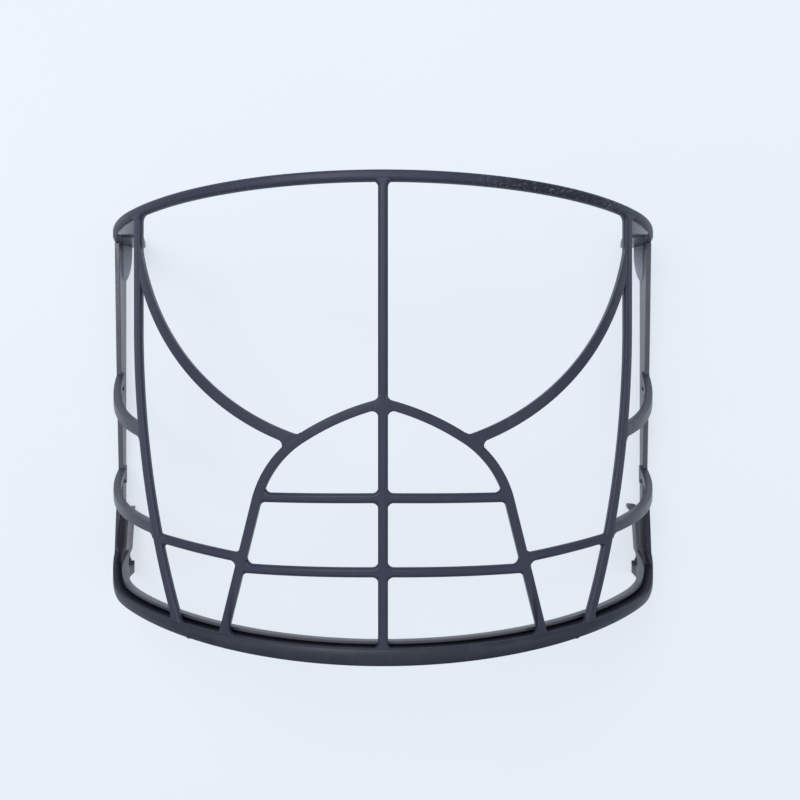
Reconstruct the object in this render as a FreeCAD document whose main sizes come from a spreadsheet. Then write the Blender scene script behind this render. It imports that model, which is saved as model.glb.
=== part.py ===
import FreeCAD, Part
import math
import os
import Sketcher
from FreeCAD import Placement, Rotation, Vector

# Mesh face guard lying on its open back: +X across the face, +Y to the brow, +Z out of the front.

os.makedirs("parts", exist_ok=True)
doc = FreeCAD.newDocument("face_guard")
sheet = doc.addObject("Spreadsheet::Sheet", "Sizes")


class Size:
    # A size that knows its value now and the expression that drives it.

    def __init__(self, value, text):
        self.value = value
        self.text = text

    def join(self, other, sign, value):
        return Size(value, "(%s %s %s)" % (self.text, sign, other.text))

    def __add__(self, other):
        return self.join(other, "+", self.value + other.value)

    def __sub__(self, other):
        return self.join(other, "-", self.value - other.value)

    def __mul__(self, other):
        if isinstance(other, Size):
            return self.join(other, "*", self.value * other.value)
        return Size(self.value * other, "(%s * %s)" % (self.text, other))

    def __truediv__(self, other):
        if isinstance(other, Size):
            return self.join(other, "/", self.value / other.value)
        return Size(self.value / other, "(%s / %s)" % (self.text, other))


def cosine(angle):
    return Size(math.cos(math.radians(angle.value)), "cos(%s)" % angle.text)


def sine(angle):
    return Size(math.sin(math.radians(angle.value)), "sin(%s)" % angle.text)


def slope_angle(rise, run):
    text = "(atan(%s / %s) / (1 deg))" % (rise.text, run.text)
    return Size(math.degrees(math.atan(rise.value / run.value)), text)


def root(square):
    return Size(math.sqrt(square.value), "sqrt(%s)" % square.text)


# Driving dimensions, lengths in mm and angles in degrees.
DIMENSIONS = [
    ("face_half_width", 114.0), ("face_depth", 90.0), ("side_curve", 70.0), ("reach_share", 1.2),
    ("bar_width", 3.3), ("bar_depth", 3.4), ("bar_round", 1.3), ("upright_edge_round", 1.0), ("knot_round", 2.0),
    ("brow_top", 75.2), ("brow_width", 3.8), ("brow_sag", 5.0), ("ear_depth", 22.0), ("ear_round", 3.0),
    ("ear_web", 10.5),
    ("rail_thick", 2.1), ("rail_depth_top", 13.0), ("rail_depth_mid", 9.0), ("rail_depth_low", 5.0),
    ("rail_mid_height", 15.0), ("rail_low_height", -46.0),
    ("chin_drop", 86.4), ("chin_corner", 15.0), ("chin_corner_height", -63.8), ("chin_blend_angle", 9.0),
    ("channel_wall", 2.9), ("channel_gap", 1.9), ("channel_inner_wall", 1.3),
    ("chin_band", 5.4), ("chin_gap", 0.8), ("chin_inner_wall", 0.9),
    ("channel_depth", 5.6), ("inner_depth", 6.2), ("floor_inset", 4.4), ("corner_blend_height", -70.0),
    ("rim_side", 9.0), ("rim_flank", 13.0), ("rim_blend", 26.0),
    ("wall_side", 5.0), ("wall_flank", 9.0), ("wall_blend", 26.5),
    ("foot_side", 0.4), ("foot_flank", 4.5), ("foot_blend", 17.0),
    ("floor_side", 2.0), ("floor_flank", 5.5), ("floor_blend", 19.0),
    ("base_side", 0.4), ("base_flank", 2.0), ("base_blend", 8.0),
    ("upright_reach_share", 0.8035), ("upright_foot_share", 0.629), ("upright_bend_height", 25.0),
    ("upright_width", 3.6), ("knot_tail_share", 0.8), ("bend_ease_share", 1.06), ("knot_step", 0.1),
    ("knot_sink_share", 0.94),
    ("cheek_knot_turn", 4.0), ("cheek_knot_ease", 5.0), ("cheek_top_height", 55.4), ("cheek_top_angle", 77.1),
    ("cheek_end_share", 0.33), ("cheek_width", 3.6),
    ("arch_apex_height", -1.1), ("arch_knot_reach", 26.0), ("arch_knot_height", -12.0),
    ("arch_top_radius", 87.0), ("arch_side_radius", 35.8),
    ("leg_top_reach", 42.2), ("leg_top_height", -33.0), ("leg_angle", 14.6),
    ("arch_apex_angle", 13.4), ("arch_knot_angle", 32.0),
    ("upper_mouth_height", -32.0), ("lower_mouth_height", -56.2), ("mouth_bar_droop", 0.5),
    ("jaw_leg_height", -53.3), ("jaw_upright_height", -49.7),
    ("upper_loop_front_height", -12.8), ("upper_loop_back_height", 11.0), ("upper_loop_radius", 162.0),
    ("upper_loop_rail_depth", 8.6), ("loop_end_share", 0.25),
    ("lower_loop_front_height", -47.4), ("lower_loop_back_height", -30.6), ("lower_loop_radius", 260.0),
    ("lower_loop_rail_depth", 5.0),
]
for row, (alias, number) in enumerate(DIMENSIONS, start=1):
    sheet.set("A%d" % row, alias)
    sheet.set("B%d" % row, str(number))
    sheet.setAlias("B%d" % row, alias)
doc.recompute()


def size(alias):
    return Size(float(sheet.get(alias)), "Sizes." + alias)


ZERO = Size(0.0, "0")
HALF_WIDTH = size("face_half_width")
DEPTH = size("face_depth")
BAR = size("bar_width")
HALF_BAR = BAR / 2
UPRIGHT = size("upright_width")
UPRIGHT_REACH = HALF_WIDTH * size("upright_reach_share")
UPRIGHT_FOOT = HALF_WIDTH * size("upright_foot_share")
TAIL = size("knot_tail_share")
BAR_DEPTH = size("bar_depth")
ROUND = size("bar_round")
KNOT = size("knot_round")
REACH = HALF_WIDTH * size("reach_share")
MIDDLE_SHIFT = (size("chin_drop") - size("brow_top")) / 2
SIDE_CURVE = size("side_curve")
CURVE_SUM = HALF_WIDTH * HALF_WIDTH - HALF_WIDTH * SIDE_CURVE * 2 + DEPTH * DEPTH
FRONT_CURVE = CURVE_SUM / ((DEPTH - SIDE_CURVE) * 2)
LEFT_TURN = 1
RIGHT_TURN = -1
CAP = "cap"
CLOSE = 1e-3
ALL_VIEWS = {"front": "XY_Plane", "side": "YZ_Plane", "section": "XZ_Plane"}


def plane_of(body, role):
    return [item for item in body.Origin.OriginFeatures if item.Role == role][0]


def attach(sketch, body, view):
    sketch.AttachmentSupport = [(plane_of(body, ALL_VIEWS[view]), "")]
    sketch.MapMode = "FlatFace"


def pin(sketch, geometry, place, axis, value):
    # Holds one corner at a distance from the axes that follows its expression.
    number = sketch.addConstraint(Sketcher.Constraint("Distance" + axis, -1, 1, geometry, place, value.value))
    sketch.setExpression("Constraints[%d]" % number, value.text)


def arc_between(start, end, radius, turn):
    chord = end - start
    half = chord.Length / 2
    rise = math.sqrt(radius * radius - half * half)
    normal = Vector(-chord.y, chord.x, 0).normalize() * turn
    centre = (start + end) * 0.5 + normal * rise
    first, last = (start, end) if turn == LEFT_TURN else (end, start)
    angles = [math.atan2(point.y - centre.y, point.x - centre.x) for point in (first, last)]
    return Part.ArcOfCircle(Part.Circle(centre, Vector(0, 0, 1), radius), angles[0], angles[1])


def draw(sketch, outline):
    # A corner is (x, y), (x, y, CAP) before a hidden end edge or (x, y, radius, turn) before a curve.
    points = [Vector(corner[0].value, corner[1].value, 0) for corner in outline]
    ends = []
    for index, corner in enumerate(outline):
        start, end = points[index], points[(index + 1) % len(points)]
        if len(corner) < 4:
            number = sketch.addGeometry(Part.LineSegment(start, end))
            ends.append((number, 1, 2))
            continue
        radius, turn = corner[2], corner[3]
        number = sketch.addGeometry(arc_between(start, end, radius.value, turn))
        ends.append((number, 1, 2) if turn == LEFT_TURN else (number, 2, 1))
    for index, (number, first, last) in enumerate(ends):
        following = ends[(index + 1) % len(ends)]
        sketch.addConstraint(Sketcher.Constraint("Coincident", number, last, following[0], following[1]))
    for index, corner in enumerate(outline):
        number, first, last = ends[index]
        pin(sketch, number, first, "X", corner[0])
        pin(sketch, number, first, "Y", corner[1])
        if len(corner) == 4:
            held = sketch.addConstraint(Sketcher.Constraint("Radius", number, corner[2].value))
            sketch.setExpression("Constraints[%d]" % held, corner[2].text)


def curve_meeting(inset):
    # Where the front curve passes into the side curve, measured from the middle.
    return (HALF_WIDTH - SIDE_CURVE) * (FRONT_CURVE - inset) / (FRONT_CURVE - SIDE_CURVE)


def oval_arcs(inset, turn):
    # The plan curve of the face, set back by the inset, as three arcs from one side to the other.
    across = curve_meeting(inset)
    ahead = (FRONT_CURVE - DEPTH) * (SIDE_CURVE - inset) / (FRONT_CURVE - SIDE_CURVE)
    edge, sides, front = HALF_WIDTH - inset, SIDE_CURVE - inset, FRONT_CURVE - inset
    return [(ZERO - edge, ZERO, sides, turn), (ZERO - across, ahead, front, turn),
            (across, ahead, sides, turn), (edge, ZERO)]


def new_body(name):
    # Every body is slid along the height so that the origin lies under the middle of the guard.
    body = doc.addObject("PartDesign::Body", name + "_body")
    body.Placement = Placement(Vector(0, MIDDLE_SHIFT.value, 0), Rotation())
    body.setExpression("Placement.Base.y", MIDDLE_SHIFT.text)
    return body


def new_sketch(body, view, name):
    sketch = body.newObject("Sketcher::SketchObject", name)
    attach(sketch, body, view)
    return sketch


def shift_out(sketch, distance):
    # Moves a sketch along its own normal so that one straight cut or pad crosses the whole part.
    sketch.AttachmentOffset = Placement(Vector(0, 0, distance.value), Rotation())
    sketch.setExpression("AttachmentOffset.Base.z", distance.text)


def pad(body, sketch, name, length):
    feature = body.newObject("PartDesign::Pad", name)
    feature.Profile = sketch
    feature.setExpression("Length", length.text)
    return feature


def cut_through(body, name, view, outline):
    sketch = new_sketch(body, view, name + "_shape")
    shift_out(sketch, REACH)
    draw(sketch, outline)
    pocket = body.newObject("PartDesign::Pocket", name)
    pocket.Profile = sketch
    pocket.Type = "ThroughAll"
    doc.recompute()
    return pocket


def trim_to_shell(body, name, outer, inner):
    # Keeps only what lies between two insets of the plan curve.
    far = REACH * 2
    beyond = [(far, ZERO), (far, far), (ZERO - far, far), (ZERO - far, ZERO)]
    cut_through(body, name + "_outside", "section", oval_arcs(outer, RIGHT_TURN) + beyond)
    edge = HALF_WIDTH - inner
    behind = [(edge, ZERO - far), (ZERO - edge, ZERO - far)]
    return cut_through(body, name + "_inside", "section", oval_arcs(inner, RIGHT_TURN) + behind)


def on_curve(point, inset):
    # True where a point lies on the plan curve set back by the inset.
    across, ahead = abs(point.x), point.z
    side_centre, front_centre = (HALF_WIDTH - SIDE_CURVE).value, (FRONT_CURVE - DEPTH).value
    from_front = math.hypot(across, ahead + front_centre) - (FRONT_CURVE - inset).value
    from_side = math.hypot(across - side_centre, ahead) - (SIDE_CURVE - inset).value
    beside = (across - side_centre) * front_centre > ahead * side_centre
    return abs(from_side if beside else from_front) < CLOSE


def near_line(point, start, end):
    along = end - start
    share = max(0.0, min(1.0, (point - start).dot(along) / along.dot(along)))
    return (point - start - along * share).Length < CLOSE


def is_hidden(middle, sketch, outline):
    # True on the edges of a bar end that another bar swallows.
    flat = sketch.Placement.inverse().multVec(middle)
    flat = Vector(flat.x, flat.y, 0)
    for index, corner in enumerate(outline):
        if len(corner) == 3:
            following = outline[(index + 1) % len(outline)]
            start = Vector(corner[0].value, corner[1].value, 0)
            if near_line(flat, start, Vector(following[0].value, following[1].value, 0)):
                return True
    return False


def shell_edges(shape, insets, sketch, outline):
    names = []
    for index, edge in enumerate(shape.Edges, start=1):
        middle = edge.valueAt((edge.FirstParameter + edge.LastParameter) / 2)
        marks = [vertex.Point for vertex in edge.Vertexes] + [middle]
        for inset in insets:
            smooth = abs(abs(middle.x) - curve_meeting(inset).value) < CLOSE
            shown = not smooth and not is_hidden(middle, sketch, outline)
            if shown and all(on_curve(mark, inset) for mark in marks):
                names.append("Edge%d" % index)
    return names


def round_edges(body, name, tip, insets, radius, sketch, outline):
    feature = body.newObject("PartDesign::Fillet", name + "_round")
    feature.Base = (tip, shell_edges(tip.Shape, insets, sketch, outline))
    feature.setExpression("Radius", radius.text)
    doc.recompute()
    return feature


def oval_height(reach):
    # How far the face stands out at a distance from the middle, between the two side curves.
    return DEPTH - FRONT_CURVE + root(FRONT_CURVE * FRONT_CURVE - reach * reach)


RIGHT_ANGLE = Size(90.0, "90")
FLAT_ANGLE = Size(180.0, "180")
BROW_LOW = size("brow_top") - size("brow_width")
EAR_TOP = size("brow_top") - size("brow_sag")
EAR_FOOT = EAR_TOP - size("brow_width")
RAIL_LOW = size("rail_low_height")
CORNER_HEIGHT = size("chin_corner_height")
BLEND_HEIGHT = size("corner_blend_height")
parts = {}


def moved(point, direction, length):
    return (point[0] + direction[0] * length, point[1] + direction[1] * length)


def heading(angle):
    return (cosine(angle), sine(angle))


def crossing(direction):
    return (ZERO - direction[1], direction[0])


def knot_end(middle, angle, beside, width, hold):
    # A bar end that flares onto a neighbour lying at the angle beside, as two pairs of corners.
    hold = hold * size("knot_sink_share")
    ahead, along = heading(angle), heading(beside)
    left, outward = crossing(ahead), crossing(along)
    spread = angle - beside
    narrow, wide = spread / 2, (FLAT_ANGLE - spread) / 2
    step = sine(spread)
    low_run = (hold + width / 2 * cosine(spread)) / step
    high_run = (hold - width / 2 * cosine(spread)) / step
    low_tail = KNOT * cosine(narrow) / sine(narrow)
    high_tail = KNOT * cosine(wide) / sine(wide)
    low_crotch = moved(moved(middle, ahead, low_run), left, ZERO - width / 2)
    high_crotch = moved(moved(middle, ahead, high_run), left, width / 2)
    low_edge = moved(low_crotch, ahead, low_tail)
    high_edge = moved(high_crotch, ahead, high_tail)
    low_foot = moved(low_crotch, along, low_tail)
    high_foot = moved(high_crotch, along, ZERO - high_tail)
    inside = ZERO - hold * TAIL
    return [high_edge + (KNOT, RIGHT_TURN), high_foot + (CAP,), moved(high_foot, outward, inside) + (CAP,),
            moved(low_foot, outward, inside) + (CAP,), low_foot + (KNOT, RIGHT_TURN), low_edge]


def straight_bar(start, end, first_beside, last_beside, first_hold, last_hold, slope):
    first = knot_end(start, slope, first_beside, BAR, first_hold)
    last = knot_end(end, slope + FLAT_ANGLE, last_beside, BAR, last_hold)
    return first + last


def bent(corner, radius, turn):
    return corner[:2] + (radius, turn)


def finish_body(body, name, outer, inner, radius, sketch, outline):
    tip = trim_to_shell(body, name, outer, inner)
    if radius is not None:
        tip = round_edges(body, name, tip, [outer, inner], radius, sketch, outline)
    body.Tip = tip
    doc.recompute()
    return body


def front_body(name, outline, level, radius=ROUND):
    # Each bar lies one small step inside the bars that it ends on.
    step = size("knot_step") * level
    body = new_body(name)
    sketch = new_sketch(body, "front", name + "_outline")
    draw(sketch, outline)
    pad(body, sketch, name + "_pad", REACH)
    doc.recompute()
    return finish_body(body, name, step, BAR_DEPTH - step, radius, sketch, outline)


def side_body(name, outline, both=False, outer=ZERO, inner=BAR_DEPTH, radius=ROUND):
    # Side outlines are given as (height, depth), seen along the width.
    body = new_body(name)
    sketch = new_sketch(body, "side", name + "_outline")
    draw(sketch, outline)
    if both:
        shift_out(sketch, ZERO - REACH)
    pad(body, sketch, name + "_pad", REACH * 2 if both else REACH)
    doc.recompute()
    return finish_body(body, name, outer, inner, radius, sketch, outline)


def keep(name, body, neighbours=()):
    # Ends each bar on the faces of the bars it meets.
    result = body
    for count, neighbour in enumerate(neighbours, start=1):
        cut = doc.addObject("Part::Cut", "%s_cut_%d" % (name, count))
        cut.Base = result
        cut.Tool = parts[neighbour]
        result = cut
        doc.recompute()
    result.Label = name
    parts[name] = result


def keep_pair(name, body, neighbours=()):
    # The right-hand piece is built and the left-hand one is its mirror image.
    right, left = name + "_right", name + "_left"
    keep(right, body, [item if item in parts else item + "_right" for item in neighbours])
    mirror = doc.addObject("Part::Mirroring", left + "_mirror")
    mirror.Source = parts[right]
    mirror.Base = Vector(0, 0, 0)
    mirror.Normal = Vector(1, 0, 0)
    mirror.Label = left
    parts[left] = mirror
    doc.recompute()


def arch_radius(reach, drop):
    return (reach * reach + drop * drop) / (drop * 2)


def chin_edge(reach, corner, centre_height):
    # The corners of one chin line on the right, and the radius of its long curve.
    blend = size("chin_blend_angle")
    corner_x = HALF_WIDTH - size("chin_corner")
    end = (corner_x + corner * sine(blend), CORNER_HEIGHT - corner * cosine(blend))
    radius = arch_radius(end[0], end[1] - centre_height)
    return (reach, CORNER_HEIGHT), end, corner, radius


def chin_height(reach, edge):
    radius = edge[3]
    return CHIN_BAND_HEIGHT + radius - root(radius * radius - reach * reach)


CHIN_OUT_HEIGHT = ZERO - size("chin_drop")
CHIN_BAND_HEIGHT = CHIN_OUT_HEIGHT + size("chin_band")
CHIN_GAP_HEIGHT = CHIN_BAND_HEIGHT + size("chin_gap")
CHIN_WALL_HEIGHT = CHIN_GAP_HEIGHT + size("chin_inner_wall")
WALL_INSET = size("channel_wall")
GAP_INSET = WALL_INSET + size("channel_gap")
INNER_INSET = GAP_INSET + size("channel_inner_wall")
CORNER = size("chin_corner")
OUTER_EDGE = chin_edge(HALF_WIDTH, CORNER, CHIN_OUT_HEIGHT)
BAND_EDGE = chin_edge(HALF_WIDTH - WALL_INSET, CORNER - WALL_INSET, CHIN_BAND_HEIGHT)
GAP_EDGE = chin_edge(HALF_WIDTH - GAP_INSET, CORNER - GAP_INSET, CHIN_GAP_HEIGHT)
WALL_EDGE = chin_edge(HALF_WIDTH - INNER_INSET, CORNER - INNER_INSET, CHIN_WALL_HEIGHT)


def upright_foot_height():
    return chin_height(UPRIGHT_FOOT, BAND_EDGE) - size("chin_band") / 2


def derive(alias, worked_out):
    # Keeps a worked-out size in the sheet, so that the expressions that use it stay short.
    row = len(sheet.getUsedCells()) // 2 + 1
    sheet.set("A%d" % row, alias)
    sheet.set("B%d" % row, "=" + worked_out.text.replace("Sizes.", ""))
    sheet.setAlias("B%d" % row, alias)
    doc.recompute()
    return Size(float(sheet.get(alias)), "Sizes." + alias)


def upright_at(height):
    # Where the middle of an upright lies at a height, and the angle that it stands at there.
    fall = size("upright_bend_height") - height
    ahead = root(UPRIGHT_CURVE * UPRIGHT_CURVE - fall * fall)
    return UPRIGHT_REACH - UPRIGHT_CURVE + ahead, RIGHT_ANGLE - slope_angle(fall, ahead)


def chin_outline(low, high, widen):
    # A band round the chin between two chin lines, open towards the brow.
    def across(point):
        return ZERO - point[0], point[1]

    low_start, low_end, low_corner, low_long = low
    high_start, high_end, high_corner, high_long = high
    outside = REACH if widen else low_start[0]
    outline = [(ZERO - outside, RAIL_LOW)]
    if widen:
        outline.append((ZERO - outside, CORNER_HEIGHT))
    outline.append(across(low_start) + (low_corner, LEFT_TURN))
    outline.append(across(low_end) + (low_long, LEFT_TURN))
    outline.append(low_end + (low_corner, LEFT_TURN))
    outline.append(low_start)
    if widen:
        outline.append((outside, CORNER_HEIGHT))
    outline += [(outside, RAIL_LOW), (high_start[0], RAIL_LOW)]
    outline.append(high_start + (high_corner, RIGHT_TURN))
    outline.append(high_end + (high_long, RIGHT_TURN))
    outline.append(across(high_end) + (high_corner, RIGHT_TURN))
    outline.append(across(high_start))
    outline.append((ZERO - high_start[0], RAIL_LOW))
    return outline


def side_line(edge):
    # One edge of the side runs, seen along the width, from the corner up to the rail.
    return [(BLEND_HEIGHT, size(edge + "_blend")), (CORNER_HEIGHT, size(edge + "_flank")),
            (RAIL_LOW, size(edge + "_side"))]


def chin_body(name, outline, outer, inner, top):
    # Cuts the band to the shell and slopes its two side runs down to the rails.
    body = new_body(name)
    sketch = new_sketch(body, "front", name + "_outline")
    draw(sketch, outline)
    pad(body, sketch, name + "_pad", REACH)
    doc.recompute()
    trim_to_shell(body, name, outer, inner)
    above = RAIL_LOW + BAR
    lowered = side_line(top) + [(above, size(top + "_side")), (above, REACH), (BLEND_HEIGHT, REACH)]
    body.Tip = cut_through(body, name + "_lowered", "side", lowered)
    return body


def raise_foot(body, name, foot):
    # Lifts the lower edge of a side run, so that it follows the upper one.
    raised = side_line(foot) + [(RAIL_LOW, ZERO - BAR), (BLEND_HEIGHT, ZERO - BAR)]
    body.Tip = cut_through(body, name + "_raised", "side", raised)
    return body


def make_frame():
    top, low = size("brow_top"), BROW_LOW
    ear_depth, ear_round = size("ear_depth"), size("ear_round")
    front = DEPTH * size("reach_share")
    rim = [(top, front), (low, front), (low, DEPTH), (EAR_FOOT, ear_depth, CAP), (EAR_TOP, ear_depth),
           (top, DEPTH)]
    keep("brow_rim", side_body("brow_rim", rim, True))
    rail_top, rail_mid, rail_low = size("rail_depth_top"), size("rail_depth_mid"), size("rail_depth_low")
    ear = [(EAR_TOP, ear_depth), (EAR_FOOT, ear_depth), (EAR_FOOT, ZERO),
           (EAR_TOP - ear_round, ZERO, ear_round, LEFT_TURN), (EAR_TOP, ear_round)]
    rail = [(EAR_FOOT, ZERO), (EAR_FOOT, rail_top), (size("rail_mid_height"), rail_mid),
            (size("lower_loop_back_height"), rail_low), (RAIL_LOW, rail_low), (RAIL_LOW, ZERO)]
    keep_pair("ear", side_body("ear", ear, inner=size("ear_web"), radius=None))
    keep_pair("rail", side_body("rail", rail, inner=size("rail_thick"), radius=None))


def make_chin():
    deep = size("channel_depth")
    rim = chin_outline(OUTER_EDGE, BAND_EDGE, True)
    keep("chin_rim", chin_body("chin_rim", rim, ZERO, deep, "rim"))
    wall = chin_outline(GAP_EDGE, WALL_EDGE, False)
    wall_body = chin_body("chin_inner_wall", wall, BAR_DEPTH, size("inner_depth"), "wall")
    keep("chin_inner_wall", raise_foot(wall_body, "chin_inner_wall", "foot"))
    base = chin_outline(BAND_EDGE, GAP_EDGE, False)
    base_body = chin_body("chin_channel_floor", base, size("floor_inset"), deep, "floor")
    keep("chin_channel_floor", raise_foot(base_body, "chin_channel_floor", "base"))


def make_centre_bar():
    hold = size("brow_width") / 2
    band_hold = size("chin_band") / 2
    start = (ZERO, CHIN_BAND_HEIGHT - band_hold)
    end = (ZERO, BROW_LOW + hold)
    outline = straight_bar(start, end, ZERO, FLAT_ANGLE, band_hold, hold, RIGHT_ANGLE)
    keep("centre_bar", front_body("centre_bar", outline, 1), ["brow_rim", "chin_rim"])


def make_upright():
    foot_height, bend = upright_foot_height(), size("upright_bend_height")
    hold = size("brow_width") / 2
    sag = size("brow_sag") * (DEPTH - oval_height(UPRIGHT_REACH)) / (DEPTH - size("ear_depth"))
    top_height = BROW_LOW + hold - sag
    foot_angle = upright_at(foot_height)[1]
    foot_end = knot_end((UPRIGHT_FOOT, foot_height), foot_angle, ZERO, UPRIGHT, size("chin_band") / 2)
    top_end = knot_end((UPRIGHT_REACH, top_height), ZERO - RIGHT_ANGLE, ZERO - FLAT_ANGLE, UPRIGHT, hold)
    right_bend = (UPRIGHT_REACH + UPRIGHT / 2, bend)
    eased = UPRIGHT_CURVE * size("bend_ease_share")
    left_bend = (UPRIGHT_REACH - UPRIGHT / 2, bend, eased - UPRIGHT / 2, RIGHT_TURN)
    outline = foot_end[:5] + [bent(foot_end[5], eased + UPRIGHT / 2, LEFT_TURN), right_bend]
    outline += top_end + [left_bend]
    keep_pair("upright", front_body("upright", outline, 1, size("upright_edge_round")), ["brow_rim", "chin_rim"])


def make_mouth_arch():
    knot, side_turn = size("arch_knot_angle"), RIGHT_ANGLE - size("leg_angle")
    apex = (ZERO, size("arch_apex_height"))
    top_end = knot_end(apex, ZERO - size("arch_apex_angle"), ZERO - RIGHT_ANGLE, BAR, HALF_BAR)
    knot_point = (size("arch_knot_reach"), size("arch_knot_height"))
    knot_left = (sine(knot), cosine(knot))
    leg_point = (size("leg_top_reach"), size("leg_top_height"))
    leg_left = (sine(side_turn), cosine(side_turn))
    slope = sine(size("leg_angle")) / cosine(size("leg_angle"))
    band_hold = size("chin_band") / 2
    rough_foot = leg_point[0] + (leg_point[1] - CHIN_BAND_HEIGHT) * slope
    foot_height = chin_height(rough_foot, BAND_EDGE) - band_hold
    foot = (leg_point[0] + (leg_point[1] - foot_height) * slope, foot_height)
    foot_end = knot_end(foot, FLAT_ANGLE - side_turn, ZERO, BAR, band_hold)
    top_radius, side_radius = size("arch_top_radius"), size("arch_side_radius")
    low, high = ZERO - HALF_BAR, HALF_BAR
    outline = top_end[:5] + [bent(top_end[5], top_radius - HALF_BAR, RIGHT_TURN)]
    outline.append(moved(knot_point, knot_left, low) + (side_radius - HALF_BAR, RIGHT_TURN))
    outline.append(moved(leg_point, leg_left, low))
    outline += foot_end
    outline.append(moved(leg_point, leg_left, high) + (side_radius + HALF_BAR, LEFT_TURN))
    outline.append(moved(knot_point, knot_left, high) + (top_radius + HALF_BAR, LEFT_TURN))
    keep_pair("mouth_arch", front_body("mouth_arch", outline, 2, None), ["centre_bar", "chin_rim"])


def make_cheek_bar():
    # Leaves the arch just past its shoulder and runs up beside the upright.
    width, turn = size("cheek_width"), size("arch_knot_angle") + size("cheek_knot_turn")
    shoulder, side_radius = size("arch_knot_angle"), size("arch_side_radius")
    start = (size("arch_knot_reach") + side_radius * (sine(turn) - sine(shoulder)),
             size("arch_knot_height") + side_radius * (cosine(turn) - cosine(shoulder)))
    run, rise = UPRIGHT_REACH - start[0], size("cheek_top_height") - start[1]
    chord_angle, top_angle = slope_angle(rise, run), size("cheek_top_angle")
    radius = derive("cheek_curve", root(run * run + rise * rise) / (sine(top_angle - chord_angle) * 2))
    centre = moved((UPRIGHT_REACH, size("cheek_top_height")), crossing(heading(top_angle)), radius)
    inner, outer = radius - width / 2, radius + width / 2
    beside = ZERO - turn - size("cheek_knot_ease")
    low_end = knot_end(start, chord_angle * 2 - top_angle, beside, width, HALF_BAR)
    outline = low_end[:5] + [bent(low_end[5], outer, LEFT_TURN)]
    inner_stop = UPRIGHT_REACH - UPRIGHT * size("cheek_end_share")
    outer_run, inner_run = UPRIGHT_REACH - centre[0], inner_stop - centre[0]
    outline.append((UPRIGHT_REACH, centre[1] - root(outer * outer - outer_run * outer_run), CAP))
    outline.append((inner_stop, centre[1] - root(inner * inner - inner_run * inner_run), inner, RIGHT_TURN))
    keep_pair("cheek_bar", front_body("cheek_bar", outline, 3, None), ["upright", "mouth_arch"])


def make_mouth_bar(name, height):
    leg = size("leg_angle")
    slope = sine(leg) / cosine(leg)
    end = (size("leg_top_reach") + (size("leg_top_height") - height) * slope, height - size("mouth_bar_droop"))
    dip = ZERO - size("mouth_bar_droop") / end[0] * DEGREE
    beside = RIGHT_ANGLE + leg
    outline = straight_bar((ZERO, height), end, ZERO - RIGHT_ANGLE, beside, HALF_BAR, HALF_BAR, dip)
    keep_pair(name, front_body(name, outline, 3), ["centre_bar", "mouth_arch"])


def make_jaw_bar():
    leg, height = size("leg_angle"), size("jaw_leg_height")
    slope = sine(leg) / cosine(leg)
    start = (size("leg_top_reach") + (size("leg_top_height") - height) * slope, height)
    far_height = size("jaw_upright_height")
    far_reach, beside = upright_at(far_height)
    lift = slope_angle(far_height - height, far_reach - start[0])
    end = (far_reach, far_height)
    outline = straight_bar(start, end, leg - RIGHT_ANGLE, beside, HALF_BAR, UPRIGHT / 2, lift)
    keep_pair("jaw_bar", front_body("jaw_bar", outline, 3), ["mouth_arch", "upright"])


def make_loop(name):
    front, back = size(name + "_front_height"), size(name + "_back_height")
    reach = upright_at(front)[0]
    rail_hold = size(name + "_rail_depth") / 2
    start, end = (back, rail_hold), (front, oval_height(reach + UPRIGHT / 2) + HALF_BAR)
    run, rise = start[0] - end[0], end[1] - start[1]
    lean = slope_angle(run, rise)
    radius = size(name + "_radius")
    angle = RIGHT_ANGLE + lean
    first = knot_end(start, angle, ZERO, BAR, rail_hold)
    last = knot_end(end, angle + FLAT_ANGLE, FLAT_ANGLE, BAR, HALF_BAR)
    outline = first[:5] + [bent(first[5], radius - HALF_BAR, RIGHT_TURN)]
    outline += last[:5] + [bent(last[5], radius + HALF_BAR, LEFT_TURN)]
    step = size("knot_step") * 2
    loop = side_body(name, outline, outer=step, inner=BAR_DEPTH - step, radius=None)
    low, high = front - BAR * 3, front + BAR * 3
    inside = UPRIGHT * size("loop_end_share")
    low_stop, high_stop = upright_at(low)[0] + inside, upright_at(high)[0] + inside
    end_cut = [(ZERO, low), (low_stop, low), (high_stop, high), (ZERO, high)]
    loop.Tip = cut_through(loop, name + "_end", "front", end_cut)
    doc.recompute()
    keep_pair(name, loop, ["upright", "rail"])


DEGREE = FLAT_ANGLE / Size(math.pi, "pi")
UPRIGHT_CURVE = derive("upright_curve", arch_radius(
    size("upright_bend_height") - upright_foot_height(), UPRIGHT_REACH - UPRIGHT_FOOT))
make_frame()
make_chin()
make_centre_bar()
make_upright()
make_mouth_arch()
make_cheek_bar()
make_mouth_bar("upper_mouth_bar", size("upper_mouth_height"))
make_mouth_bar("lower_mouth_bar", size("lower_mouth_height"))
make_jaw_bar()
make_loop("upper_loop")
make_loop("lower_loop")

for item in doc.Objects:
    if "Invalid" in item.State or "Error" in item.State:
        raise RuntimeError("%s did not build" % item.Name)
for name, item in parts.items():
    shape = item.Shape
    if shape.isNull() or not shape.isValid() or len(shape.Solids) != 1:
        raise RuntimeError("%s has %d solids" % (name, len(shape.Solids)))
    shape.exportStep("parts/%s.step" % name)
    print(name, round(shape.Volume, 1))
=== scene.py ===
import math
import random

import bmesh
import bpy
from mathutils import Matrix, Vector


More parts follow.
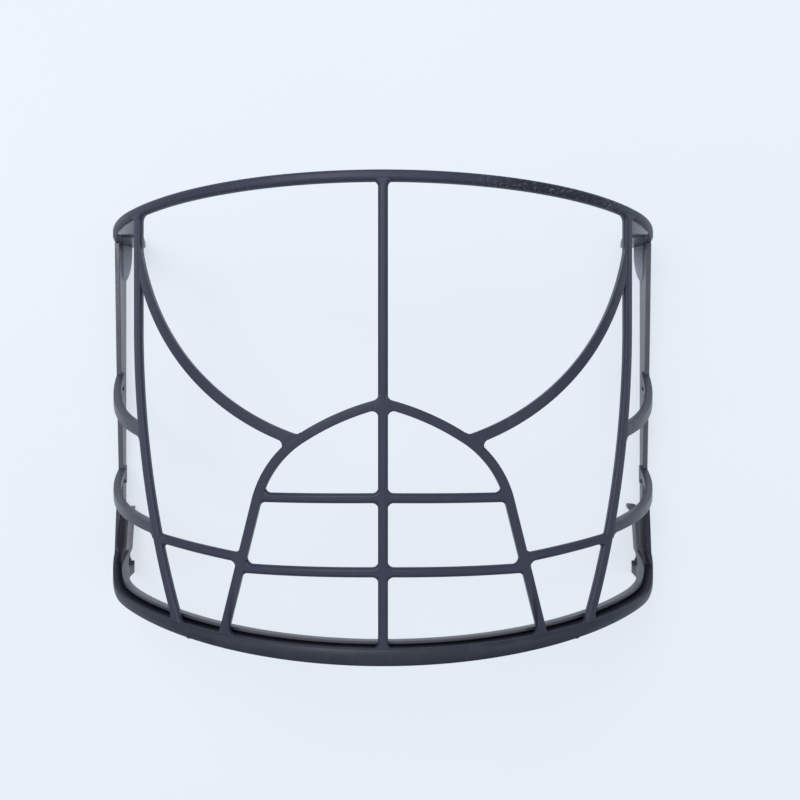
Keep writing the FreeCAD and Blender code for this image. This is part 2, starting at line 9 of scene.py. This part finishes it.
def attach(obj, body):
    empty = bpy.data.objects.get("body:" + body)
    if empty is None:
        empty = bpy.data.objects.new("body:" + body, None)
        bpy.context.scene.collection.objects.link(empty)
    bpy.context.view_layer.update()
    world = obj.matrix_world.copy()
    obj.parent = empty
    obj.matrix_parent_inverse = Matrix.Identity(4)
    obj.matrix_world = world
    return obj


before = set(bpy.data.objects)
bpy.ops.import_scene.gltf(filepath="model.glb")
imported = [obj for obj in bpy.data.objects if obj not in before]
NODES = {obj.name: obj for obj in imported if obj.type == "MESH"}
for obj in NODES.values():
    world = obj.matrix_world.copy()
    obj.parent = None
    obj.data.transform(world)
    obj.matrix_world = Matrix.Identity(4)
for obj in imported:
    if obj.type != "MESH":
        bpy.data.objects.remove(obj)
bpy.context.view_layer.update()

# The guard lies on its open back on a white table, seen from straight above. All lengths are in metres.
random.seed(7)

# Rounding: the nodes whose solids are rounded already, and the widths for the others.
ROUNDED = ("brow_rim", "centre_bar", "upright_", "jaw_bar_", "upper_mouth_bar_", "lower_mouth_bar_")
THIN = ("rail", "ear", "chin_inner", "chin_channel")
BAR_EDGE = 0.0009
THIN_EDGE = 0.0004
BAND_EDGE = 0.0018
EDGE_ANGLE = math.radians(35)
EDGE_SEGMENTS = 3
WELD_GAP = 0.000004

# The photograph's frame in pixels, and the camera that took it.
IMAGE_SIZE = 800
FOCAL_PIXELS = 802
CAMERA_HEIGHT = 0.350
CAMERA_UP = 0.0056
MIDDLE_PIXEL = 383.0
SENSOR = 36.0
CLIP_START = 0.01

# The plan of the face: a wide front curve between two side curves.
FACE_TOP = 0.090
FRONT_CURVE = 0.1284
SIDE_CURVE = 0.070
SIDE_MIDDLE = 0.044
CURVE_MEETING = 0.0967

# Small moulding marks: name, reach, height on the face, rise over its front, half sizes, turn and node.
MARKS = [
    ("brow_flash", -0.0556, 0.0767, -0.0010, (0.0011, 0.0007, 0.0012), 0.15, "brow_rim"),
    ("left_foot_step", -0.0675, -0.0771, -0.0014, (0.0013, 0.0007, 0.0015), -0.1, "chin_rim"),
    ("right_foot_step", 0.0675, -0.0771, -0.0014, (0.0013, 0.0007, 0.0015), 0.1, "chin_rim"),
    ("band_pip", 0.0559, -0.0742, -0.0001, (0.0005, 0.0006, 0.0004), 0.3, "chin_rim"),
]
MARK_DETAIL = 3
MARK_ROUGH_SHARE = 0.06

# The gussets between the brow rim and the ears: reach and lower edge, the depths of their two faces below
# the front of the guard, and the sloping lower edge of the rim that they hang from.
GUSSET_EDGE = [
    (0.0926, 0.0681), (0.0960, 0.0688), (0.1000, 0.0698),
    (0.1050, 0.0716), (0.1080, 0.0732), (0.1102, 0.0748),
]
GUSSET_OUT = 0.0012
GUSSET_IN = 0.0026
RIM_FOOT = 0.0720
RIM_FOOT_DEPTH = 0.022
RIM_RISE = 5.0 / 68.0
RIM_OVERLAP = 0.0008

# The leaf-shaped webs along the rails below the ears: height on the face and inner edge, then their section.
LEAF_EDGE = [
    (0.0732, 0.1090), (0.0670, 0.1091), (0.0640, 0.1094), (0.0615, 0.1099),
    (0.0595, 0.1105), (0.0578, 0.1113), (0.0570, 0.1121),
]
LEAF_RAIL = 0.1126
LEAF_TOP = 0.0062
LEAF_FOOT = 0.0012
LEAF_LOW = 0.0003
LEAF_THICKNESS = 0.0010

# The hook at the free end of the right inner chin wall.
WALL_TAB = [
    (0.1090, -0.0425), (0.1090, -0.0394), (0.1062, -0.0391), (0.1055, -0.0399),
    (0.1059, -0.0412), (0.1068, -0.0422), (0.1079, -0.0436),
]
TAB_LOW = 0.0012
TAB_HIGH = 0.0046
TAB_EDGE = 0.0003
TAB_SEGMENTS = 2
TAB_PROFILE = 0.6

# Noise scales of the plastic, in waves per metre, and the reach over which the brow rim is scuffed.
GRAIN = 3200
MOTTLE = 55
WAVE = 190
SPECK = 900
SCUFF_PATCH = 70
SCRATCH_PATCH = 60
SCRATCH_ALONG = 150
SCRATCH_ACROSS = 3400
SCRATCH_TURN = (0.4, 0.3, 0.5)
SCRATCH_SHARE = 0.35
SCUFF_START = (0.028, 0.045)
SCUFF_END = (0.082, 0.095)
SCUFF_SHADE_SHARE = 0.65
SCUFF_ROUGHER = 0.12
DARKER_SHARE = 0.82
LIGHTER_SHARE = 1.2
SMOOTHER = 0.05
ROUGHER = 0.06
GRAIN_SHARE = 0.35
BUMP_STRENGTH = 0.22
BUMP_DEPTH = 0.00012

# Colours in linear RGB. The marks of wear and the two tones of the table have their alpha with them.
WORN = (0.085, 0.092, 0.125, 1)
BROW_WORN = (0.16, 0.17, 0.21, 1)
PALE_WORN = (0.40, 0.42, 0.49, 1)
SCUFF_SHADE = (0.008, 0.010, 0.018, 1)
BAR_COLOUR = (0.036, 0.040, 0.066)
BROW_COLOUR = (0.038, 0.042, 0.068)
RIM_COLOUR = (0.024, 0.028, 0.044)
SIDE_COLOUR = (0.045, 0.050, 0.072)
LOOP_COLOUR = (0.038, 0.042, 0.066)
# Painted shadow: the chin channel's floor is painted near black to stand for the shade inside the channel.
GROOVE_PAINTED_SHADOW = (0.002, 0.0025, 0.006)
WALL_COLOUR = (0.050, 0.054, 0.072)
# Painted reflection: the leaves are painted pale to stand for the white table reflected in them at a grazing
# angle.
PALE_PAINTED_REFLECTION = (0.32, 0.34, 0.41)
TABLE_DARK = (0.80, 0.86, 0.94, 1)
TABLE_LIGHT = (0.83, 0.89, 0.965, 1)
GLOW_DARK = (0.80, 0.868, 0.945, 1)
STUDIO_COLOUR = (0.90, 0.95, 1.0, 1)

# The table, the share of its own tone that the camera and the reflections see, and the studio's two levels.
TABLE_SIZE = 3.0
TABLE_CELLS = 8
TABLE_DROP = 0.0004
TABLE_ROUGH = 0.9
TABLE_TONE = 6
GLOW_TONE = 5
TABLE_GLOW = 0.72
HORIZON = 0.10
ZENITH = 0.75
SKY_LOW = 0.05
SKY_HIGH = 0.95

# The softboxes: name, place, width, height and power.
LIGHT_TARGET = (0, 0, 0.03)
LIGHTS = [
    ("top_softbox", (-0.30, 0.50, 1.05), 0.75, 0.55, 7.5),
    ("left_softbox", (-1.2, -0.1, 0.9), 0.8, 0.9, 2.0),
    ("right_softbox", (1.2, -0.2, 0.9), 0.8, 0.9, 2.2),
]


def shader_nodes(material):
    # An empty node tree for a material.
    material.use_nodes = True
    tree = material.node_tree
    tree.nodes.clear()
    return tree


def add(tree, kind, **values):
    # A new node with some of its settings.
    node = tree.nodes.new(kind)
    for key, value in values.items():
        setattr(node, key, value)
    return node


def put(node, **values):
    # Sets a node's own sockets, with underscores for the spaces in their names.
    for key, value in values.items():
        node.inputs[key.replace("_", " ")].default_value = value
    return node


def feed(tree, socket, value):
    # Links another node's output to a socket, or sets the socket to a plain value.
    if isinstance(value, (int, float, tuple)):
        socket.default_value = value
    else:
        tree.links.new(value, socket)


def ramp(tree, source, low, high, first=0.0, last=1.0):
    # Maps a value between two others, held at both ends.
    node = add(tree, "ShaderNodeMapRange")
    tree.links.new(source, node.inputs["Value"])
    put(node, From_Min=low, From_Max=high, To_Min=first, To_Max=last)
    return node.outputs["Result"]


def noise(tree, place, scale, detail, roughness=0.5):
    node = add(tree, "ShaderNodeTexNoise")
    put(node, Scale=scale, Detail=detail, Roughness=roughness)
    tree.links.new(place, node.inputs["Vector"])
    return node.outputs["Fac"]


def mix_colour(tree, share, first, last):
    # The sockets 0, 6 and 7 are the mix node's share and its two colours, and 2 is its colour output.
    node = add(tree, "ShaderNodeMix", data_type="RGBA")
    tree.links.new(share, node.inputs[0])
    feed(tree, node.inputs[6], first)
    feed(tree, node.inputs[7], last)
    return node.outputs[2]


def times(tree, first, last, operation="MULTIPLY"):
    # The product of two values, or the result of another operation on them.
    node = add(tree, "ShaderNodeMath", operation=operation)
    feed(tree, node.inputs[0], first)
    feed(tree, node.inputs[1], last)
    return node.outputs[0]


def shaded(colour, share):
    # A colour made darker or lighter, with its alpha.
    return tuple(channel * share for channel in colour) + (1,)


def streaks(tree, place, stretch):
    # Fine scratches: noise drawn out along one direction, kept only where a broad patch allows it.
    mapping = add(tree, "ShaderNodeMapping")
    tree.links.new(place, mapping.inputs["Vector"])
    mapping.inputs["Scale"].default_value = stretch
    mapping.inputs["Rotation"].default_value = SCRATCH_TURN
    lines = ramp(tree, noise(tree, mapping.outputs["Vector"], 1.0, 1), 0.69, 0.74)
    return times(tree, lines, ramp(tree, noise(tree, place, SCRATCH_PATCH, 2), 0.5, 0.6))


def scratches(tree, place):
    # Scratches along two directions.
    first = streaks(tree, place, (SCRATCH_ALONG, SCRATCH_ACROSS, SCRATCH_ALONG))
    last = streaks(tree, place, (SCRATCH_ACROSS, SCRATCH_ALONG, SCRATCH_ALONG))
    return times(tree, first, last, "MAXIMUM")


def scuffed_side(tree, place):
    # Where the scuffs are: the right half of the brow rim, fading in and out along X.
    parts = add(tree, "ShaderNodeSeparateXYZ")
    tree.links.new(place, parts.inputs[0])
    reach = parts.outputs["X"]
    return times(tree, ramp(tree, reach, *SCUFF_START), ramp(tree, reach, *SCUFF_END, 1.0, 0.0))


def scuff_spots(tree, place, side):
    # Pale speckles in broad patches.
    speck = ramp(tree, noise(tree, place, SPECK, 5, 0.75), 0.52, 0.60)
    patch = ramp(tree, noise(tree, place, SCUFF_PATCH, 2), 0.35, 0.55, 0.3, 1.0)
    return times(tree, times(tree, speck, patch), side)


def skin_bump(tree, place, wave):
    # The fine grain and the slow waviness of the moulded skin.
    grain = noise(tree, place, GRAIN, 2)
    height = times(tree, times(tree, grain, GRAIN_SHARE), wave, "ADD")
    bump = put(add(tree, "ShaderNodeBump"), Strength=BUMP_STRENGTH, Distance=BUMP_DEPTH)
    tree.links.new(height, bump.inputs["Height"])
    return bump.outputs["Normal"]


def plastic(name, colour, rough, worn=WORN, scuffs=0.0, gloss=1.5, shine=0.5, wear=0.5):
    # Satin moulded plastic with a fine skin grain, flow mottling, pale edges, scratches and scuffs.
    material = bpy.data.materials.new(name)
    tree = shader_nodes(material)
    place = add(tree, "ShaderNodeTexCoord").outputs["Object"]
    mottle = noise(tree, place, MOTTLE, 4, 0.6)
    wave = noise(tree, place, WAVE, 3)
    surface = add(tree, "ShaderNodeNewGeometry")
    edge = ramp(tree, surface.outputs["Pointiness"], 0.54, 0.66, 0.0, wear)
    rubbed = times(tree, edge, ramp(tree, wave, 0.42, 0.66, 0.15, 0.85))
    base = mix_colour(tree, mottle, shaded(colour, DARKER_SHARE), shaded(colour, LIGHTER_SHARE))
    base = mix_colour(tree, rubbed, base, worn)
    base = mix_colour(tree, times(tree, scratches(tree, place), SCRATCH_SHARE), base, worn)
    roughness = ramp(tree, mottle, 0.3, 0.7, rough - SMOOTHER, rough + ROUGHER)
    if scuffs:
        side = scuffed_side(tree, place)
        spots = times(tree, scuff_spots(tree, place, side), scuffs)
        base = mix_colour(tree, times(tree, side, SCUFF_SHADE_SHARE), base, SCUFF_SHADE)
        base = mix_colour(tree, spots, base, worn)
        roughness = times(tree, roughness, times(tree, spots, SCUFF_ROUGHER), "ADD")
    shader = add(tree, "ShaderNodeBsdfPrincipled")
    put(shader, Metallic=0.0, IOR=gloss, Specular_IOR_Level=shine)
    tree.links.new(base, shader.inputs["Base Color"])
    tree.links.new(roughness, shader.inputs["Roughness"])
    tree.links.new(skin_bump(tree, place, wave), shader.inputs["Normal"])
    output = add(tree, "ShaderNodeOutputMaterial")
    tree.links.new(shader.outputs["BSDF"], output.inputs["Surface"])
    return material


def dress_nodes():
    # One plastic for the bars, and its variants for the pieces that look different in the photograph.
    bar = plastic("bar_plastic", BAR_COLOUR, 0.42, shine=0.22)
    side = plastic("side_plastic", SIDE_COLOUR, 0.27, gloss=1.75)
    loop = plastic("loop_plastic", LOOP_COLOUR, 0.34, shine=0.4)
    special = {
        "brow_rim": plastic("brow_plastic", BROW_COLOUR, 0.44, BROW_WORN, scuffs=0.8, shine=0.22),
        "chin_rim": plastic("rim_plastic", RIM_COLOUR, 0.42, shine=0.25),
        "chin_inner_wall": plastic("wall_plastic", WALL_COLOUR, 0.36, gloss=1.6),
        # The channel floor's near-black colour is painted shadow for the shade inside the chin channel.
        "chin_channel_floor": plastic("groove_painted_shadow", GROOVE_PAINTED_SHADOW, 0.6, shine=0.1, wear=0.0),
    }
    for hand in ("_right", "_left"):
        special["rail" + hand] = side
        special["ear" + hand] = side
        special["upper_loop" + hand] = loop
        special["lower_loop" + hand] = loop
    for name, piece in NODES.items():
        piece.data.materials.clear()
        piece.data.materials.append(special.get(name, bar))


def soften(piece, width, segments=EDGE_SEGMENTS):
    # Rounds a piece's sharp edges with a modifier.
    bevel = piece.modifiers.new("soft_edges", "BEVEL")
    bevel.width = width
    bevel.segments = segments
    bevel.limit_method = "ANGLE"
    bevel.angle_limit = EDGE_ANGLE


def round_nodes():
    # Softens the sharp edges that the solids keep, without changing their meshes.
    for name, piece in NODES.items():
        if name.startswith(ROUNDED):
            continue
        weld = piece.modifiers.new("weld", "WELD")
        weld.merge_threshold = WELD_GAP
        if name == "chin_rim":
            soften(piece, BAND_EDGE, 1)
        elif name.startswith(THIN):
            soften(piece, THIN_EDGE)
        else:
            soften(piece, BAR_EDGE)


def new_piece(name, mesh_builder, slot):
    # A small moulded feature that rides on the guard and takes the finish of the node it sits on.
    mesh = bpy.data.meshes.new(name)
    shape = bmesh.new()
    mesh_builder(shape)
    shape.to_mesh(mesh)
    shape.free()
    piece = bpy.data.objects.new(name, mesh)
    bpy.context.scene.collection.objects.link(piece)
    for face in mesh.polygons:
        face.use_smooth = True
    mesh.materials.append(NODES[slot].data.materials[0])
    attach(piece, "root")
    return piece


def make_nub(name, place, half_size, slot, turn):
    # An uneven blob of flash or gate vestige, half sunk in the bar that carries it.
    def build(shape):
        made = bmesh.ops.create_icosphere(shape, subdivisions=MARK_DETAIL, radius=1.0)
        spin = Matrix.Rotation(turn, 3, "Z")
        for vertex in made["verts"]:
            point = vertex.co * (1 + random.uniform(-MARK_ROUGH_SHARE, MARK_ROUGH_SHARE))
            point = spin @ Vector((point.x * half_size[0], point.y * half_size[1], point.z * half_size[2]))
            vertex.co = point + Vector(place)
    new_piece(name, build, slot)


def skin(shape, sections):
    # A closed skin through a row of sections that all have the same number of corners.
    rows = [[shape.verts.new(corner) for corner in section] for section in sections]
    count = len(rows[0])
    for first, last in zip(rows, rows[1:]):
        for index in range(count):
            following = (index + 1) % count
            shape.faces.new((first[index], first[following], last[following], last[index]))
    shape.faces.new(rows[0])
    shape.faces.new(rows[-1])
    bmesh.ops.recalc_face_normals(shape, faces=shape.faces)


def make_plate(name, outline, low, high, slot):
    # A flat tab with softened edges.
    def build(shape):
        skin(shape, [[(x, y, z) for x, y in outline] for z in (low, high)])
        bmesh.ops.bevel(shape, geom=shape.edges[:], offset=TAB_EDGE, segments=TAB_SEGMENTS,
                        affect="EDGES", profile=TAB_PROFILE)
    new_piece(name, build, slot)


def make_web(name, sections, slot):
    # A thin web through a row of four-cornered sections, softened at its edges.
    def build(shape):
        skin(shape, sections)
    piece = new_piece(name, build, slot)
    soften(piece, THIN_EDGE)
    return piece


def face_height(reach, inset=0.0):
    # How high the face stands at a distance from the middle, on its front or its side curve.
    reach = abs(reach)
    if reach > CURVE_MEETING:
        return math.sqrt((SIDE_CURVE - inset) ** 2 - (reach - SIDE_MIDDLE) ** 2)
    return FACE_TOP - FRONT_CURVE + math.sqrt((FRONT_CURVE - inset) ** 2 - reach ** 2)


def gusset_section(side, reach, foot):
    # The gusset's outer and inner faces, between the rim's lower edge and its own.
    section = []
    for inset, rim_first in ((GUSSET_OUT, True), (GUSSET_IN, False)):
        z = face_height(reach, inset)
        top = RIM_FOOT + (z - RIM_FOOT_DEPTH) * RIM_RISE + RIM_OVERLAP
        pair = [(side * reach, y, z) for y in (top, foot)]
        section += pair if rim_first else pair[::-1]
    return section


def leaf_section(side, y, inner):
    # The leaf slopes from the rail's inner face down to the table side.
    rail = side * LEAF_RAIL
    return [
        (rail, y, LEAF_TOP),
        (side * inner, y, LEAF_FOOT),
        (side * (inner + LEAF_THICKNESS), y, LEAF_LOW),
        (rail, y, LEAF_TOP - LEAF_THICKNESS),
    ]


def make_details():
    # Small forms that the photograph shows: flash, gate marks, the webs at the ears and a locating tab.
    for name, reach, y, rise, half_size, turn, slot in MARKS:
        make_nub(name, (reach, y, face_height(reach) + rise), half_size, slot, turn)
    # The leaves' pale colour is a painted reflection of the table, in place of the dark plastic of the rails
    # that carry them.
    pale = plastic("pale_painted_reflection", PALE_PAINTED_REFLECTION, 0.40, PALE_WORN)
    for side, word in ((1, "right"), (-1, "left")):
        gusset = [gusset_section(side, reach, foot) for reach, foot in GUSSET_EDGE]
        make_web("gusset_" + word, gusset, "ear_" + word)
        leaf = [leaf_section(side, y, inner) for y, inner in LEAF_EDGE]
        piece = make_web("leaf_" + word, leaf, "rail_" + word)
        piece.data.materials[0] = pale
    make_plate("wall_tab", WALL_TAB, TAB_LOW, TAB_HIGH, "chin_inner_wall")


def table_material():
    # A white that stays pale to the camera and to reflections, and keeps the shadow.
    material = bpy.data.materials.new("table_white")
    tree = shader_nodes(material)
    place = add(tree, "ShaderNodeTexCoord").outputs["Object"]
    shader = put(add(tree, "ShaderNodeBsdfPrincipled"), Roughness=TABLE_ROUGH)
    tone = mix_colour(tree, noise(tree, place, TABLE_TONE, 3), TABLE_DARK, TABLE_LIGHT)
    tree.links.new(tone, shader.inputs["Base Color"])
    glow = put(add(tree, "ShaderNodeEmission"), Strength=1.0)
    light = mix_colour(tree, noise(tree, place, GLOW_TONE, 2), GLOW_DARK, TABLE_LIGHT)
    tree.links.new(light, glow.inputs["Color"])
    rays = add(tree, "ShaderNodeLightPath")
    seen = times(tree, rays.outputs["Is Camera Ray"], rays.outputs["Is Glossy Ray"], "ADD")
    seen = times(tree, seen, rays.outputs["Is Transmission Ray"], "ADD")
    mix = add(tree, "ShaderNodeMixShader")
    tree.links.new(times(tree, seen, TABLE_GLOW), mix.inputs[0])
    tree.links.new(shader.outputs["BSDF"], mix.inputs[1])
    tree.links.new(glow.outputs["Emission"], mix.inputs[2])
    output = add(tree, "ShaderNodeOutputMaterial")
    tree.links.new(mix.outputs["Shader"], output.inputs["Surface"])
    return material


def make_floor():
    # The table, just below the guard's rear edge.
    bpy.ops.mesh.primitive_grid_add(x_subdivisions=TABLE_CELLS, y_subdivisions=TABLE_CELLS, size=TABLE_SIZE,
                                    location=(0, 0, -TABLE_DROP))
    floor = bpy.context.object
    floor.name = "table"
    floor.data.materials.append(table_material())


def make_world():
    # A studio that is bright overhead and dim near the horizon.
    world = bpy.data.worlds.new("studio")
    bpy.context.scene.world = world
    world.use_nodes = True
    tree = world.node_tree
    back = tree.nodes["Background"]
    back.inputs["Color"].default_value = STUDIO_COLOUR
    upward = add(tree, "ShaderNodeSeparateXYZ")
    tree.links.new(add(tree, "ShaderNodeTexCoord").outputs["Generated"], upward.inputs[0])
    level = ramp(tree, upward.outputs["Z"], SKY_LOW, SKY_HIGH, HORIZON, ZENITH)
    tree.links.new(level, back.inputs["Strength"])


def make_lights():
    # Softboxes that all face the guard.
    for name, place, width, height, power in LIGHTS:
        data = bpy.data.lights.new(name, "AREA")
        data.shape = "RECTANGLE"
        data.size = width
        data.size_y = height
        data.energy = power
        lamp = bpy.data.objects.new(name, data)
        lamp.location = place
        lamp.rotation_euler = (Vector(LIGHT_TARGET) - Vector(place)).to_track_quat("-Z", "Y").to_euler()
        bpy.context.scene.collection.objects.link(lamp)


def make_camera():
    # Looks straight down, with the small shift that the photograph's middle asks for.
    data = bpy.data.cameras.new("camera")
    data.sensor_width = SENSOR
    data.lens = FOCAL_PIXELS / IMAGE_SIZE * SENSOR
    data.shift_x = (IMAGE_SIZE / 2 - MIDDLE_PIXEL) / IMAGE_SIZE
    data.clip_start = CLIP_START
    camera = bpy.data.objects.new("camera", data)
    camera.location = (0, CAMERA_UP, CAMERA_HEIGHT)
    bpy.context.scene.collection.objects.link(camera)
    bpy.context.scene.camera = camera


scene = bpy.context.scene
scene.view_settings.view_transform = "Standard"
make_camera()
make_floor()
make_world()
make_lights()
dress_nodes()
round_nodes()
make_details()
